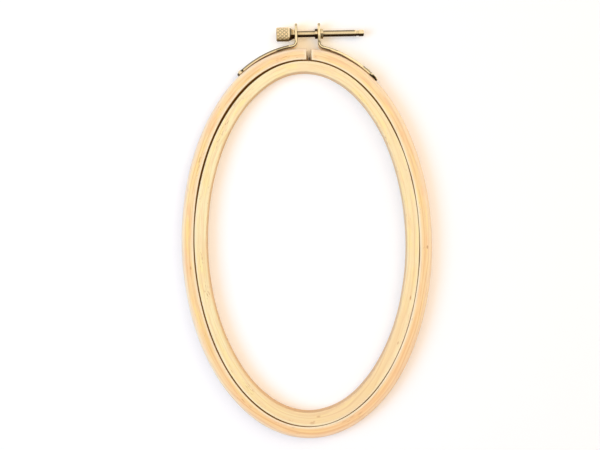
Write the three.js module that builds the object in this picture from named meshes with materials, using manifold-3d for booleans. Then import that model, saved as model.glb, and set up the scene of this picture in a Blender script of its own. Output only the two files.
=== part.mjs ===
// Oval embroidery hoop: two bent beech rings, one inside the other, and a brass screw clamp that
// closes the split outer ring. Millimetres, +Z up. The hoop lies flat on z = 0 with its long axis
// along Y and the clamp at +Y. The screw runs along X, with its knurled head at -X.
import * as THREE from "three";
import { mergeVertices } from "three/addons/utils/BufferGeometryUtils.js";
import Module from "manifold-3d";

const wasm = await Module();
wasm.setup();

// The oval where the rings meet, which is the size such a hoop is sold by: 4 by 6 1/2 inches.
const nominalWidth = 101.6;
const nominalLength = 165.1;

// The rings are strips of beech bent on edge. The saw cut that splits the outer one lies a little
// to the right of the long axis.
const ringDepth = 8;
const innerRingThickness = 5.9;
const outerRingThickness = 5.5;
const ringClearance = 0.3;
const easedEdge = 0.5;
const splitOffset = 2.6;
const splitWidth = 2.5;

// The outer ring bends open all along its length. Its two halves meet at a hairline at the back
// of the oval, on the hinge line that stands in for that bend.
const flexGap = 0.3;

// Two brass strips are tacked to the outer ring's wall. Each turns out into a lug for the screw.
// The lugs' middle lies a little to the left of the split's. Reaches run along X from the lugs'
// middle to a strip's end, and insets run back from there to its tack.
const lugShift = -0.4;
const lugSpacing = 10.4;
const lugTipReach = 4.8; // beyond the screw's axis
const stripThickness = 1.2;
const stripInset = 0.5; // from each face of the ring to the strip's edge
const stripEndFlat = 1; // between the two rounded corners of an end
const stripBendRadius = 1.6; // inside the bend at a lug's foot
const stripClearance = 0.2;
const leftStripReach = 32;
const rightStripReach = 31;
const leftTackInset = 1.4;
const rightTackInset = 4.3;
const rightTailLift = 0.6; // of the free end past the right tack

// Domed brass tacks.
const tackHeadDiameter = 2.8;
const tackHeadHeight = 0.7;
const tackPinDiameter = 1.2;
const tackBite = 3; // into the wood
const tackPointLength = 1.2;
const tackClearance = 0.2;

// Brass thumb screw, M3. Its collar bears on the left lug.
const threadDiameter = 3;
const shankLength = 31.5;
const tipChamfer = 0.4;
const collarLength = 1.2;
const collarLip = 0.55; // beyond the hole that it covers
const taperLength = 1.1;
const headDiameter = 6.4;
const headLength = 6;
const headChamfer = 0.35;
const headToStrip = 1.9;
const threadClearance = 0.35;
const faceClearance = 0.1; // between flat faces that meet

// Brass bush with a flange on either side of the right lug.
const bushWall = 0.3;
const bushLip = 0.3; // beyond the hole that it covers
const bushFlangeLength = 1.2;

// How finely round shapes are cut into flats.
const ovalSteps = 144;
const roundSteps = 32;
const stripSteps = 14;
const bendSteps = 6;
const cornerSteps = 5;
const domeSteps = 5;

// Sizes and places that follow from those above.
const halfWidth = nominalWidth / 2;
const halfLength = nominalLength / 2;
const outerRingWall = ringClearance + outerRingThickness;
const stripWidth = ringDepth - 2 * stripInset;
const stripMiddle = outerRingWall + stripClearance + stripThickness / 2;
const tackSeat = outerRingWall + stripClearance + stripThickness + faceClearance;
const middleHeight = ringDepth / 2;
const lugMiddle = splitOffset + lugShift;
const screwHeight = halfLength + tackSeat - faceClearance + headToStrip + headDiameter / 2;
const lugTip = screwHeight + lugTipReach;
const threadHoleDiameter = threadDiameter + 2 * threadClearance;
const bushWaistDiameter = threadHoleDiameter + 2 * bushWall;
const bushHoleDiameter = bushWaistDiameter + 2 * faceClearance;
const bushFlangeDiameter = bushHoleDiameter + 2 * bushLip;
const collarDiameter = threadHoleDiameter + 2 * collarLip;
const left = -1;
const right = 1;

const series = (count, make) => Array.from({ length: count }, (_, i) => make(i));

// Outward direction of the oval. The angle is 0 at +Y and grows towards +X.
function ovalNormal(angle) {
  const across = halfLength * Math.sin(angle);
  const along = halfWidth * Math.cos(angle);
  return new THREE.Vector2(across, along).normalize();
}

// A point on the curve that keeps the given distance outside the oval.
function ovalPoint(angle, offset) {
  const onOval = new THREE.Vector2(halfWidth * Math.sin(angle), halfLength * Math.cos(angle));
  return onOval.addScaledVector(ovalNormal(angle), offset);
}

// The angle at which that curve's upper half reaches a given x. It has no closed formula, so the
// angle is closed in on by halves.
function angleAtX(x, offset) {
  let low = -Math.PI / 2;
  let high = Math.PI / 2;
  for (let i = 0; i < 48; i += 1) {
    const middle = (low + high) / 2;
    if (ovalPoint(middle, offset).x < x) {
      low = middle;
    } else {
      high = middle;
    }
  }
  return (low + high) / 2;
}

function solidFrom(geometry) {
  geometry.deleteAttribute("normal");
  geometry.deleteAttribute("uv");
  const merged = mergeVertices(geometry);
  const vertProperties = merged.getAttribute("position").array;
  const triVerts = Uint32Array.from(merged.getIndex().array);
  return new wasm.Manifold(new wasm.Mesh({ numProp: 3, vertProperties, triVerts }));
}

function geometryFrom(solid) {
  const mesh = solid.getMesh();
  const geometry = new THREE.BufferGeometry();
  geometry.setAttribute("position", new THREE.BufferAttribute(mesh.vertProperties, 3));
  geometry.setIndex(new THREE.BufferAttribute(mesh.triVerts, 1));
  geometry.computeVertexNormals();
  return geometry;
}

// The whole curve at that distance, run anticlockwise as a shape's outline is.
function ovalOutline(offset) {
  return series(ovalSteps, (i) => ovalPoint((-i * 2 * Math.PI) / ovalSteps, offset));
}

// A closed ring of bent strip between two distances from the oval, with all its edges eased.
function ringGeometry(insideOffset, outsideOffset) {
  const plan = new THREE.Shape(ovalOutline(outsideOffset - easedEdge));
  plan.holes.push(new THREE.Path(ovalOutline(insideOffset + easedEdge)));
  const ring = new THREE.ExtrudeGeometry(plan, {
    depth: ringDepth - 2 * easedEdge,
    bevelThickness: easedEdge,
    bevelSize: easedEdge,
    bevelSegments: 1,
  });
  return ring.translate(0, 0, easedEdge);
}

// A cylinder centred on a point of the hoop's mid plane, along a direction in that plane.
function drill(diameter, length, centre, direction) {
  const radius = diameter / 2;
  const cylinder = new THREE.CylinderGeometry(radius, radius, length, roundSteps);
  cylinder.rotateZ(-Math.atan2(direction.x, direction.y));
  cylinder.translate(centre.x, centre.y, middleHeight);
  return solidFrom(cylinder);
}

// The angle at which a strip's middle line lies some way from the lugs' middle, measured along X.
function wallAngle(side, reach) {
  return angleAtX(lugMiddle + side * reach, stripMiddle);
}

function tackAngle(side) {
  const reach = side === left ? leftStripReach - leftTackInset : rightStripReach - rightTackInset;
  return wallAngle(side, reach);
}

function tackHole(side) {
  const angle = tackAngle(side);
  const deep = tackSeat - outerRingWall + tackBite + tackClearance;
  const centre = ovalPoint(angle, tackSeat - deep / 2);
  return drill(tackPinDiameter + 2 * tackClearance, deep, centre, ovalNormal(angle));
}

// One half of the outer ring: the closed ring with the other side of the saw cut taken away at
// the top, the other side of the hairline taken away at the back, and a hole for the tack.
function outerRingHalf(side) {
  const beyond = nominalLength;
  const cutX = splitOffset + (side * splitWidth) / 2;
  const backX = splitOffset + (side * flexGap) / 2;
  const otherSide = new THREE.Shape([
    new THREE.Vector2(cutX, beyond),
    new THREE.Vector2(cutX, 0),
    new THREE.Vector2(backX, 0),
    new THREE.Vector2(backX, -beyond),
    new THREE.Vector2(-side * beyond, -beyond),
    new THREE.Vector2(-side * beyond, beyond),
  ]);
  const cutter = new THREE.ExtrudeGeometry(otherSide, { depth: 2 * ringDepth, bevelEnabled: false });
  cutter.translate(0, 0, -ringDepth / 2);
  const ring = solidFrom(ringGeometry(ringClearance, outerRingWall));
  return geometryFrom(ring.subtract(solidFrom(cutter)).subtract(tackHole(side)));
}

// Half the strip's width at some distance from one of its ends, which have rounded corners.
function stripHalfWidth(distance) {
  const corner = (stripWidth - stripEndFlat) / 2;
  const inCorner = Math.max(0, corner - distance);
  return stripEndFlat / 2 + Math.sqrt(corner ** 2 - inCorner ** 2);
}

// The middle line of a bracket, from its tacked end along the ring's wall, round the bend and out
// to the lug's tip. Each station has a place, the direction square to the strip, and half the
// strip's width there.
function bracketStations(side, reach, tailLift) {
  const corner = (stripWidth - stripEndFlat) / 2;
  const bend = stripBendRadius + stripThickness / 2;
  const lugX = lugMiddle + (side * lugSpacing) / 2;
  const endAngle = wallAngle(side, reach);
  const holdAngle = tackAngle(side);
  const bendAngle = angleAtX(lugX + side * bend, stripMiddle + bend);
  const bendCentre = ovalPoint(bendAngle, stripMiddle + bend);

  const along = (angle) => {
    const pastTack = Math.max(0, (angle - holdAngle) / (endAngle - holdAngle));
    return ovalPoint(angle, stripMiddle + tailLift * pastTack ** 2);
  };
  const end = along(endAngle);
  const cornerAngle = corner / ovalPoint(endAngle, stripMiddle).length();
  const onWall = (angle) => {
    const middle = along(angle);
    const halfWide = stripHalfWidth(middle.distanceTo(end));
    return { middle, square: ovalNormal(angle), halfWide };
  };
  const tail = series(cornerSteps, (i) => {
    const turned = 1 - Math.cos((i / cornerSteps) * (Math.PI / 2));
    return onWall(endAngle - side * cornerAngle * turned);
  });
  const wall = series(stripSteps + 1, (i) => {
    const start = endAngle - side * cornerAngle;
    return onWall(start + ((bendAngle - start) * i) / stripSteps);
  });

  const firstTurn = ovalNormal(bendAngle).angle();
  const lastTurn = side === left ? Math.PI : 0;
  const turn = series(bendSteps, (i) => {
    const angle = firstTurn + ((lastTurn - firstTurn) * (i + 1)) / bendSteps;
    const square = new THREE.Vector2(Math.cos(angle), Math.sin(angle));
    const middle = bendCentre.clone().addScaledVector(square, -bend);
    return { middle, square, halfWide: stripWidth / 2 };
  });
  const lug = series(cornerSteps + 1, (i) => {
    const fromTip = corner * (1 - Math.sin((i / cornerSteps) * (Math.PI / 2)));
    return {
      middle: new THREE.Vector2(lugX, lugTip - fromTip),
      square: new THREE.Vector2(side, 0),
      halfWide: stripHalfWidth(fromTip),
    };
  });
  return [...tail, ...wall, ...turn, ...lug];
}

// A flat strip that follows its stations: one rectangle at each, joined to the next by four sides.
function stripGeometry(stations) {
  const points = stations.flatMap(({ middle, square, halfWide }) =>
    [[-1, -1], [1, -1], [1, 1], [-1, 1]].flatMap(([outward, upward]) => {
      const corner = middle.clone().addScaledVector(square, (outward * stripThickness) / 2);
      return [corner.x, corner.y, middleHeight + upward * halfWide];
    }),
  );
  const last = 4 * (stations.length - 1);
  const faces = [[0, 1, 2, 3], [last + 3, last + 2, last + 1, last]];
  for (let first = 0; first < last; first += 4) {
    for (let side = 0; side < 4; side += 1) {
      const next = (side + 1) % 4;
      faces.push([first + side, first + 4 + side, first + 4 + next, first + next]);
    }
  }
  const geometry = new THREE.BufferGeometry();
  geometry.setAttribute("position", new THREE.Float32BufferAttribute(points, 3));
  geometry.setIndex(faces.flatMap(([a, b, c, d]) => [a, b, c, a, c, d]));
  return geometry;
}

function bracketGeometry(side, reach, tailLift, lugHoleDiameter) {
  const stations = bracketStations(side, reach, tailLift);
  const facing = side === right ? stations : stations.reverse();
  const lugCentre = new THREE.Vector2(lugMiddle + (side * lugSpacing) / 2, screwHeight);
  const lugHole = drill(lugHoleDiameter, 3 * stripThickness, lugCentre, new THREE.Vector2(1, 0));
  return geometryFrom(solidFrom(stripGeometry(facing)).subtract(lugHole).subtract(tackHole(side)));
}

// The tack stands on its own origin, the seat under its head, with its pin pointing down Y.
function tackGeometry() {
  const pinRadius = tackPinDiameter / 2;
  const pinLength = tackSeat - outerRingWall + tackBite;
  const headRadius = tackHeadDiameter / 2;
  const domeRadius = (headRadius ** 2 + tackHeadHeight ** 2) / (2 * tackHeadHeight);
  const domeAngle = Math.asin(headRadius / domeRadius);
  const dome = series(domeSteps + 1, (i) => {
    const angle = domeAngle * (1 - i / domeSteps);
    const height = tackHeadHeight - domeRadius * (1 - Math.cos(angle));
    return new THREE.Vector2(domeRadius * Math.sin(angle), height);
  });
  return new THREE.LatheGeometry([
    new THREE.Vector2(0, -pinLength),
    new THREE.Vector2(pinRadius, tackPointLength - pinLength),
    new THREE.Vector2(pinRadius, 0),
    ...dome,
  ], roundSteps);
}

// The screw's own origin is the collar's face that bears on the left lug, and its shank points
// along Y.
function thumbScrewGeometry() {
  const threadRadius = threadDiameter / 2;
  const collarRadius = collarDiameter / 2;
  const headRadius = headDiameter / 2;
  const taperStart = -collarLength - taperLength;
  const headEnd = taperStart - headLength;
  return new THREE.LatheGeometry([
    new THREE.Vector2(0, headEnd),
    new THREE.Vector2(headRadius - headChamfer, headEnd),
    new THREE.Vector2(headRadius, headEnd + headChamfer),
    new THREE.Vector2(headRadius, taperStart),
    new THREE.Vector2(collarRadius, -collarLength),
    new THREE.Vector2(collarRadius, 0),
    new THREE.Vector2(threadRadius, 0),
    new THREE.Vector2(threadRadius, shankLength - tipChamfer),
    new THREE.Vector2(threadRadius - tipChamfer, shankLength),
    new THREE.Vector2(0, shankLength),
  ], roundSteps);
}

// The bush's own origin is its middle, and its bore runs along Y.
function bushGeometry() {
  const boreRadius = threadHoleDiameter / 2;
  const waistRadius = bushWaistDiameter / 2;
  const flangeRadius = bushFlangeDiameter / 2;
  const flangeStart = stripThickness / 2 + faceClearance;
  const bushEnd = flangeStart + bushFlangeLength;
  return new THREE.LatheGeometry([
    new THREE.Vector2(boreRadius, -bushEnd),
    new THREE.Vector2(flangeRadius, -bushEnd),
    new THREE.Vector2(flangeRadius, -flangeStart),
    new THREE.Vector2(waistRadius, -flangeStart),
    new THREE.Vector2(waistRadius, flangeStart),
    new THREE.Vector2(flangeRadius, flangeStart),
    new THREE.Vector2(flangeRadius, bushEnd),
    new THREE.Vector2(boreRadius, bushEnd),
    new THREE.Vector2(boreRadius, -bushEnd),
  ], roundSteps);
}

const beech = (color) => new THREE.MeshStandardMaterial({ color, roughness: 0.55, metalness: 0 });
const brass = (color) => new THREE.MeshStandardMaterial({ color, roughness: 0.3, metalness: 1 });

function piece(name, geometry, material) {
  const mesh = new THREE.Mesh(geometry, material);
  mesh.name = name;
  return mesh;
}

// Turns a piece that was made along Y to lie along a direction in the mid plane.
function laid(mesh, place, direction) {
  mesh.position.set(place.x, place.y, middleHeight);
  mesh.rotation.z = -Math.atan2(direction.x, direction.y);
  return mesh;
}

function tack(name, side) {
  const angle = tackAngle(side);
  const mesh = piece(name, tackGeometry(), brass("#e6c78c"));
  return laid(mesh, ovalPoint(angle, tackSeat), ovalNormal(angle));
}

const hoop = new THREE.Group();
hoop.name = "hoop";
hoop.add(piece("inner_ring", ringGeometry(-innerRingThickness, 0), beech("#fbe3b1")));
hoop.add(piece("outer_ring_left", outerRingHalf(left), beech("#f8d5a2")));
hoop.add(piece("outer_ring_right", outerRingHalf(right), beech("#f8d5a2")));

const leftBracket = bracketGeometry(left, leftStripReach, 0, threadHoleDiameter);
const rightBracket = bracketGeometry(right, rightStripReach, rightTailLift, bushHoleDiameter);
hoop.add(piece("left_bracket", leftBracket, brass("#e3c48a")));
hoop.add(piece("right_bracket", rightBracket, brass("#e3c48a")));
hoop.add(tack("left_tack", left));
hoop.add(tack("right_tack", right));

const screwwards = new THREE.Vector2(1, 0);
const collarFace = lugMiddle - lugSpacing / 2 - stripThickness / 2 - faceClearance;
const thumbScrew = piece("thumb_screw", thumbScrewGeometry(), brass("#d9b877"));
hoop.add(laid(thumbScrew, new THREE.Vector2(collarFace, screwHeight), screwwards));
const bush = piece("threaded_bush", bushGeometry(), brass("#cfae6d"));
hoop.add(laid(bush, new THREE.Vector2(lugMiddle + lugSpacing / 2, screwHeight), screwwards));

// The whole hoop stands on the middle of its own footprint.
hoop.position.y = (halfLength + outerRingWall - lugTip) / 2;
const assembly = new THREE.Group();
assembly.name = "embroidery_hoop";
assembly.add(hoop);

export default assembly;
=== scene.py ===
# %% [markdown]
# An oval embroidery hoop, dressed in wood and brass
#
# The imported model gives the hoop as nine plain solids on four bodies: the two sides of the split
# outer ring, the inner ring and the screw. This lesson builds finer pieces over them. Each is made
# in the frame of the imported model, so that it needs no fitting, and all but the outer ring then
# ride on their own body.

from math import asin, atan2, ceil, copysign, cos, dist, pi, radians, sin

import bmesh
import bpy
import numpy as np
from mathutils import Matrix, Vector


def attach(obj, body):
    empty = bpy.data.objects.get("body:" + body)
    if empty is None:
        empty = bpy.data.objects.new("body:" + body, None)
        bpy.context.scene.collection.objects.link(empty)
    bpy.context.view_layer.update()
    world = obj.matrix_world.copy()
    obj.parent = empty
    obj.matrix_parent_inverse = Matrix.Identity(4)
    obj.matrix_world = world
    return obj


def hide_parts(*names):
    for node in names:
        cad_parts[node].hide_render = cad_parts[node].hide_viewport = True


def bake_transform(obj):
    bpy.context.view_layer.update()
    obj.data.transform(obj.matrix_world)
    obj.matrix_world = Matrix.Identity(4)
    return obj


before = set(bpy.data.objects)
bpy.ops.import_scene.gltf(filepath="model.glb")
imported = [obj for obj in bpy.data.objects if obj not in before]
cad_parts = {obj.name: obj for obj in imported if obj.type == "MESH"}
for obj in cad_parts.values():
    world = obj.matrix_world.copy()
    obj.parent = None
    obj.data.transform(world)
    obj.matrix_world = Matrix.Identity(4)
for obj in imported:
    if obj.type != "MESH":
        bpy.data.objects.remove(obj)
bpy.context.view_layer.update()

# %% [markdown]
# The camera
#
# The photograph looks straight down from about half a metre. The hoop lies a little right of the
# middle and below it, and is turned by a degree. A long lens keeps the oval true, and what little
# perspective is left shows a sliver of the inner ring's wall all round.

# %% Put something in the scene
def add_object(name, data):
    """An object for a mesh, a curve, a lamp or a camera."""
    thing = bpy.data.objects.new(name, data)
    bpy.context.scene.collection.objects.link(thing)
    return thing


# %% Camera
MM = 0.001
CAMERA_HEIGHT = 509.5 * MM
CAMERA_OVER = (-2.9 * MM, 2.45 * MM)
HOOP_TURN = radians(1.1)
LENS = 66.7
FILM_WIDTH = 36

eye = bpy.data.cameras.new("eye")
eye.lens = LENS
eye.sensor_width = FILM_WIDTH
eye.clip_start = 0.01
camera = add_object("camera", eye)
camera.location = (*CAMERA_OVER, CAMERA_HEIGHT)
camera.rotation_euler = (0, 0, -HOOP_TURN)
bpy.context.scene.camera = camera
print("width of the view at the table, mm:", round(CAMERA_HEIGHT / MM * FILM_WIDTH / LENS, 1))

# %% [markdown]
# Colours and nodes
#
# Colours are picked on screen, in sRGB, and the renderer adds light in linear numbers, so one
# function turns a hex colour to linear. A second one adds a shader node, sets it and links it. The
# settings that many nodes share have names. A map range takes a value, the two levels it runs
# between and the two it is brought to, and a mix takes a share and two colours.

# %% Helpers for colours and nodes
SMOOTH = {"interpolation_type": "SMOOTHSTEP"}
MIX_COLOURS = {"data_type": "RGBA"}
TIMES = {"operation": "MULTIPLY"}
TIMES_PLUS = {"operation": "MULTIPLY_ADD"}
LARGER_OF = {"operation": "MAXIMUM"}


def to_linear(hex_colour):
    """A colour as written on screen, such as #fbe3b1, as linear red, green, blue and alpha."""
    parts = [int(hex_colour[i : i + 2], 16) / 255 for i in (1, 3, 5)]
    return [c / 12.92 if c <= 0.04045 else ((c + 0.055) / 1.055) ** 2.4 for c in parts] + [1.0]


def add_node(tree, kind, settings={}, inputs={}, output=None):
    """Adds a node with its settings. Its inputs, by name or as a list in the order that the node
    shows, are values or other nodes' outputs."""
    node = tree.nodes.new("ShaderNode" + kind)
    for name, value in settings.items():
        setattr(node, name, value)
    sockets = [s for s in node.inputs if s.enabled]
    for key, value in inputs.items() if isinstance(inputs, dict) else enumerate(inputs):
        named = [s for s in sockets if key in (s.identifier, s.name)]
        socket = named[0] if named else sockets[key]
        if isinstance(value, bpy.types.NodeSocket):
            tree.links.new(value, socket)
        else:
            socket.default_value = value
    return next((s for s in node.outputs if s.enabled and output in (None, s.name)), None)


def new_material(name):
    """An empty material, and the node tree to fill."""
    material = bpy.data.materials.new(name)
    material.use_nodes = True
    material.node_tree.nodes.clear()
    return material, material.node_tree


# %% [markdown]
# The table and the light
#
# The hoop lies on matt white card that fills the picture. Most of the light is an even white sky
# and a soft box overhead. A cool box stands on the left and a weaker warm one on the right: where
# the hoop hides the cool one the card turns warm, and on its other side a little lilac. The camera
# sees the card about a tenth brighter than it is lit, which keeps it white while its shadows stay.
# The boxes don't show in reflections, where their glare would wash out the brass.

# %% Rays that show the background
def seen_rays(tree):
    """1 for the rays that show the background: to the camera, in a gloss or through glass."""
    seen = 0.0
    for name in ("Is Camera Ray", "Is Glossy Ray", "Is Transmission Ray"):
        ray = add_node(tree, "LightPath", output=name)
        seen = add_node(tree, "Math", LARGER_OF, [seen, ray])
    return seen


# %% Nearness to a place
def near_to(tree, place_mm, reach_mm):
    """1 at a place, and 0 further from it than its reach."""
    here = add_node(tree, "TexCoord", output="Object")
    spot = tuple(part * MM for part in place_mm)
    away = add_node(tree, "VectorMath", {"operation": "DISTANCE"}, [here, spot], "Value")
    return add_node(tree, "MapRange", SMOOTH, [away, 0.0, reach_mm * MM, 1.0, 0.0])


# %% [markdown]
# The tint of the card
#
# Far from the hoop the boxes give the card less light, so there it shows brighter still. Brass and
# wood throw warm light on the card round the clamp, and little light reaches it inside the saw
# cut. Too few rays find that light to draw it well, so a tint of the card stands in for it.

# %% Tint of the card
GLOW_NEAR, GLOW_FAR = 0.13, 0.7
CLAMP_GLOW, CUT_SHADE = 0.2, -0.22

card_white, tree = new_material("matt_white_card")
here = add_node(tree, "TexCoord", output="Object")
away = add_node(tree, "VectorMath", {"operation": "LENGTH"}, [here], "Value")
lift = add_node(tree, "MapRange", SMOOTH, [away, 0.2, 1.3, GLOW_NEAR, GLOW_FAR])
by_clamp = near_to(tree, (-1, 86, 0), 32)
shade_between_lugs = near_to(tree, (2.4, 84, 0), 9)
in_cut = near_to(tree, (2.7, 79.6, 0), 5)
for spot, change in [(by_clamp, CLAMP_GLOW), (in_cut, CUT_SHADE)]:
    lift = add_node(tree, "Math", TIMES_PLUS, [spot, change, lift])
# Between the lugs the card's own colour is darker and warmer: painted warm shade under the screw.
card_colour, glow_colour = [
    add_node(tree, "Mix", MIX_COLOURS, [share, to_linear(plain), to_linear(tint)])
    for share, plain, tint in [(shade_between_lugs, "#f4f4f4", "#e6dece"), (by_clamp, "#ffffff", "#ffdda2")]
]

# %% Surface of the card
grain = add_node(tree, "TexNoise", inputs={"Vector": here, "Scale": 1 / (1.5 * MM), "Detail": 3})
bump = add_node(tree, "Bump", inputs={"Height": grain, "Strength": 0.05, "Distance": 0.1 * MM})
glow = add_node(tree, "Math", TIMES, [seen_rays(tree), lift])
look = {"Base Color": card_colour, "Roughness": 0.95, "Specular IOR Level": 0.1, "Normal": bump}
look |= {"Emission Color": glow_colour, "Emission Strength": glow}
surface = add_node(tree, "BsdfPrincipled", inputs=look)
add_node(tree, "OutputMaterial", inputs=[surface])

# %% Card under the hoop
CARD_SIZE = 8.0
CARD_DROP = 0.05 * MM


def sheet(name, corners, material):
    """A flat card from its four corners."""
    mesh = bpy.data.meshes.new(name)
    mesh.from_pydata(corners, [], [(0, 1, 2, 3)])
    mesh.materials.append(material)
    return add_object(name, mesh)


half = CARD_SIZE / 2
corners = [(-half, -half), (half, -half), (half, half), (-half, half)]
card = sheet("white_card", [(x, y, -CARD_DROP) for x, y in corners], card_white)

# %% Lamps
def soft_box(name, place, size, share, colour):
    """A lamp that faces the hoop and gives a share of the light that makes white paper white."""
    distance = Vector(place).length
    lamp = bpy.data.lights.new(name, "AREA")
    lamp.shape = "RECTANGLE"
    lamp.size, lamp.size_y = size
    lamp.energy = share * (pi * distance) ** 2 / (place[2] / distance)
    lamp.color = to_linear(colour)[:3]
    holder = add_object(name, lamp)
    holder.location = place
    holder.rotation_euler = (-Vector(place)).to_track_quat("-Z", "Y").to_euler()
    holder.visible_glossy = False
    print(f"{name}: {lamp.energy:.1f} W")


soft_box("overhead_box", (0.05, 0.1, 1.2), (1.2, 1.0), 0.35, "#ffefde")
soft_box("warm_right_box", (0.58, 0.4, 0.8), (0.6, 0.6), 0.15, "#ffe9bd")
soft_box("cool_left_box", (-0.68, -0.1, 0.8), (0.6, 0.6), 0.42, "#90cbff")

# %% Sky
sky = bpy.data.worlds.new("studio_sky")
sky.use_nodes = True
tree = sky.node_tree
tree.nodes.clear()
lit = add_node(tree, "Background", inputs=[to_linear("#ffecda"), 0.5])
white = add_node(tree, "Background", inputs=[to_linear("#ffffff"), 1.0])
either = add_node(tree, "MixShader", inputs=[seen_rays(tree), lit, white])
add_node(tree, "OutputWorld", inputs=[either])
bpy.context.scene.world = sky
bpy.context.scene.view_settings.view_transform = "Standard"

# %% [markdown]
# Cards for the brass
#
# Polished brass shows its surroundings more than its own colour, and in a white room it would
# look like paper. Photographers stand dark cards just outside the picture, whose reflections draw
# the edges of the metal, and a pale one above for its flat faces. These show only in reflections.

# %% Dark cards for the brass
brown_felt, tree = new_material("brown_felt")
weave = add_node(tree, "TexNoise", inputs={"Scale": 300})
browns = [weave, to_linear("#3a2c1c"), to_linear("#241a10")]
cloth_colour = add_node(tree, "Mix", MIX_COLOURS, browns)
cloth = add_node(tree, "BsdfPrincipled", inputs={"Base Color": cloth_colour, "Roughness": 0.95})
add_node(tree, "OutputMaterial", inputs=[cloth])


def only_in_reflections(stand_in):
    """Keeps a card out of the picture, the shadows and the soft light."""
    stand_in.visible_camera = False
    stand_in.visible_diffuse = False
    stand_in.visible_shadow = False


def dark_card(name, bearing, distance, width, height):
    """A standing card at a compass bearing, in degrees anticlockwise from +X, that faces the hoop."""
    turn = radians(bearing)
    foot = Vector((cos(turn), sin(turn), 0)) * distance + Vector((0, 0, 1 * MM))
    side = Vector((-sin(turn), cos(turn), 0)) * width / 2
    top = Vector((0, 0, height))
    corners = [foot - side, foot + side, foot + side + top, foot - side + top]
    only_in_reflections(sheet(name, corners, brown_felt))


dark_card("dark_card_left", 165, 0.5, 0.4, 0.12)
dark_card("dark_card_near", 265, 0.5, 0.8, 0.35)

# %% Pale card above
PALE_CARD_Y, PALE_CARD_Z = 0.3, 1.3
PALE_CARD_HALF = (0.5, 0.25)

pale_silk, tree = new_material("pale_silk")
threads = add_node(tree, "TexNoise", inputs={"Scale": 200})
glow = add_node(tree, "Math", TIMES_PLUS, [threads, 0.1, 1.25])
silk = add_node(tree, "Emission", inputs=[to_linear("#fffaf0"), glow])
add_node(tree, "OutputMaterial", inputs=[silk])

wide, deep = PALE_CARD_HALF
corners = [(-wide, deep), (wide, deep), (wide, -deep), (-wide, -deep)]
corners = [(x, PALE_CARD_Y + y, PALE_CARD_Z) for x, y in corners]
only_in_reflections(sheet("pale_card", corners, pale_silk))

# %% [markdown]
# The oval
#
# Both rings follow one oval, the line where they meet. Its real shape is a strip bent round a
# former, and an ellipse of 4 by 6 1/2 inches matches it to half a pixel. A ring is a profile that
# is carried along the oval: a place on it is an angle, a distance outside the oval, and a height.

# %% Points on the oval
HALF_WIDTH = 50.8
HALF_LENGTH = 82.55
OVAL_Y = -5.65
RING_DEPTH = 8.0
JOINT_GAP = 0.3
INNER_THICKNESS = 5.9
OUTER_WALL = 5.8
SPLIT_LEFT = 1.35
SPLIT_RIGHT = 3.85


def oval_normal(angle):
    """Outward direction of the oval in plan. The angle is 0 at +Y and grows towards +X."""
    across, along = HALF_LENGTH * np.sin(angle), HALF_WIDTH * np.cos(angle)
    size = np.hypot(across, along)
    return across / size, along / size


def oval_point(angle, offset):
    """Plan place in mm at some distance outside the oval."""
    across, along = oval_normal(angle)
    x = HALF_WIDTH * np.sin(angle) + offset * across
    y = HALF_LENGTH * np.cos(angle) + offset * along
    return x, y + OVAL_Y


# %% Angles, bearings and lengths
def angle_at_x(x, offset):
    """The angle where that curve's upper half reaches a given x, closed in on by halves."""
    low, high = -pi / 2, pi / 2
    for _ in range(50):
        middle = (low + high) / 2
        if oval_point(middle, offset)[0] < x:
            low = middle
        else:
            high = middle
    return (low + high) / 2


def bearing_of(angle):
    """Compass bearing of a place on the oval, in degrees anticlockwise from +X."""
    x, y = oval_point(angle, 0)
    return np.degrees(np.arctan2(y - OVAL_Y, x)) % 360


around = np.linspace(0, 2 * pi, 2001)
xs, ys = oval_point(around, 0)
arc = np.concatenate([[0], np.cumsum(np.hypot(np.diff(xs), np.diff(ys)))])
OVAL_LENGTH = arc[-1]
print("length round the oval, mm:", round(OVAL_LENGTH, 1))

# %% [markdown]
# Beech
#
# Both rings are steamed beech, bent on edge and sanded matt, with no varnish. Beech shows three
# things to the eye: soft streaks where the strip cuts the growth rings, fine fibres, and the small
# brown flecks of its rays. All run along the bend, so the pattern can't use plain x, y and z. Each
# vertex stores its place on the strip instead, as a point on a circle as long as the oval, so that
# the pattern meets itself with no seam. The third number is the distance outside the oval, and it
# is moved on for each ring, so that their patterns differ.

# %% Noise that follows the strip
def strip_noise(tree, length, width, detail=2.0, phase=0.0):
    """Noise that is drawn out along the strip: its length and width in mm."""
    place = add_node(tree, "Attribute", {"attribute_name": "strip_place"}, output="Vector")
    scales = (1 / length, 1 / length, 1 / width)
    stretched = add_node(tree, "VectorMath", TIMES, [place, scales])
    spot = add_node(tree, "TexCoord", output="Object")
    height = add_node(tree, "SeparateXYZ", inputs=[spot], output="Z")
    lifted = add_node(tree, "Math", TIMES_PLUS, [height, 1 / (width * MM), phase])
    noise = {"Vector": stretched, "W": lifted, "Scale": 1, "Detail": detail}
    return add_node(tree, "TexNoise", {"noise_dimensions": "4D"}, noise)


def across_strip(tree):
    """The stored distance outside the oval, in mm."""
    place = add_node(tree, "Attribute", {"attribute_name": "strip_place"}, output="Vector")
    return add_node(tree, "SeparateXYZ", inputs=[place], output="Z")


# %% A tone laid over a colour
def lay_over(tree, below, pattern, low, high, strength, tone):
    """Lays a tone over a colour, the more so as a pattern rises from a low level to a high one."""
    share = add_node(tree, "MapRange", SMOOTH, [pattern, low, high, 0.0, strength])
    return add_node(tree, "Mix", MIX_COLOURS, [share, below, to_linear(tone)])


# %% [markdown]
# Growth rings
#
# A bent strip is cut nearly along its growth rings, so they show as long lines, 1 to 2 mm apart,
# that drift slowly across it. A noise of a single number gives lines of uneven width: its number
# is the distance across the strip, pushed to and fro by up to 2 mm by a much longer noise. One
# stretch of the strip is heartwood, where the lines are stronger and the wood is warmer.

# %% Growth rings
GROWTH_SPACING = 1.3
DRIFT_LENGTH = 55


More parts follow.
